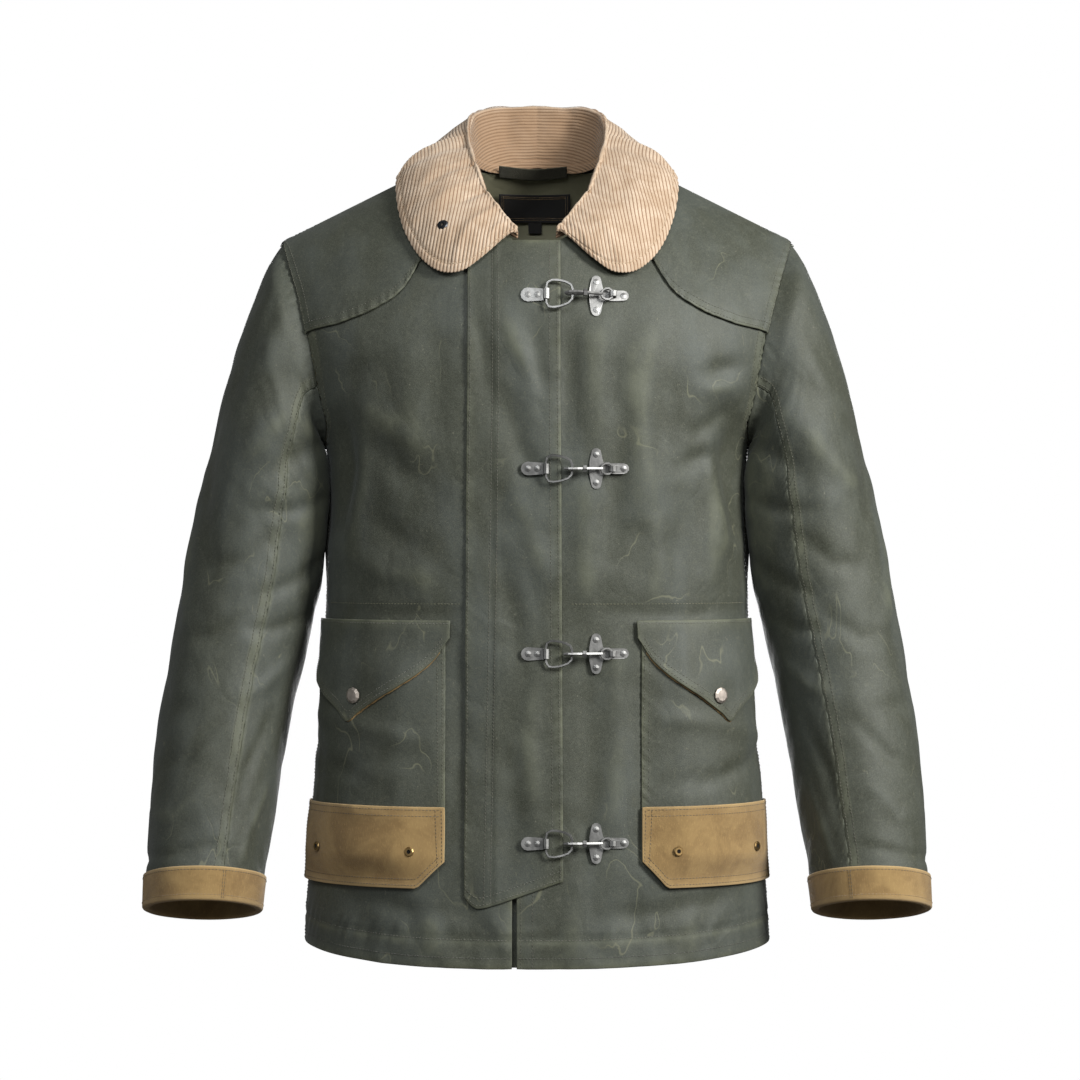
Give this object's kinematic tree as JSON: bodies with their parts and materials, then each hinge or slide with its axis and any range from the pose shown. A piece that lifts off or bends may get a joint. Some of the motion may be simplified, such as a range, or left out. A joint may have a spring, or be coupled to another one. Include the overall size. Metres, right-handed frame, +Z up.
{
  "type": "waxed cotton jacket",
  "caption": "Hip-length waxed cotton field jacket, filled out as worn, with a corduroy collar, shoulder yokes, bellows pockets, turned-up cuffs and clip-and-dee closures.",
  "frame": {"origin": "midway between the shoulders at the height where the jacket rests on them, in the plane of the shoulder seams", "axes": "+Z up, -Y out of the front, +X to the wearer's left"},
  "size_m": [0.7506, 0.2733, 0.8305],
  "materials": {
    "waxed": "waxed cotton, dark olive grey, soft uneven sheen",
    "tan": "waxed tan canvas",
    "corduroy": "wide-wale corduroy, sand",
    "inside": "plain cotton, dark olive",
    "label": "woven label, bare",
    "steel": "bright nickel-plated steel",
    "snap": "dulled nickel",
    "brass": "aged brass"
  },
  "bodies": {
    "root": {"front_right": "waxed", "front_left": "waxed", "back_panel": "waxed", "yoke_right": "waxed", "yoke_left": "waxed", "storm_flap": "waxed", "pocket_right": "waxed", "pocket_panel_right": "tan", "pocket_flap_right": "waxed", "pocket_snap_right": "snap", "grommet_right_inner": "brass", "grommet_right_outer": "brass", "sleeve_right_upper": "waxed", "sleeve_right_under": "waxed", "cuff_right": "tan", "pocket_left": "waxed", "pocket_panel_left": "tan", "pocket_flap_left": "waxed", "pocket_snap_left": "snap", "grommet_left_inner": "brass", "grommet_left_outer": "brass", "sleeve_left_upper": "waxed", "sleeve_left_under": "waxed", "cuff_left": "tan", "collar": "corduroy", "collar_eyelet": "snap", "hanger_loop": "inside", "neck_label": "label", "size_tab": "label", "clasp_1_dee_plate": "steel", "clasp_1_dee_ring": "steel", "clasp_1_snap_hook": "steel", "clasp_1_hook_plate": "steel", "clasp_2_dee_plate": "steel", "clasp_2_dee_ring": "steel", "clasp_2_snap_hook": "steel", "clasp_2_hook_plate": "steel", "clasp_3_dee_plate": "steel", "clasp_3_dee_ring": "steel", "clasp_3_snap_hook": "steel", "clasp_3_hook_plate": "steel", "clasp_4_dee_plate": "steel", "clasp_4_dee_ring": "steel", "clasp_4_snap_hook": "steel", "clasp_4_hook_plate": "steel"}
  },
  "joints": []
}
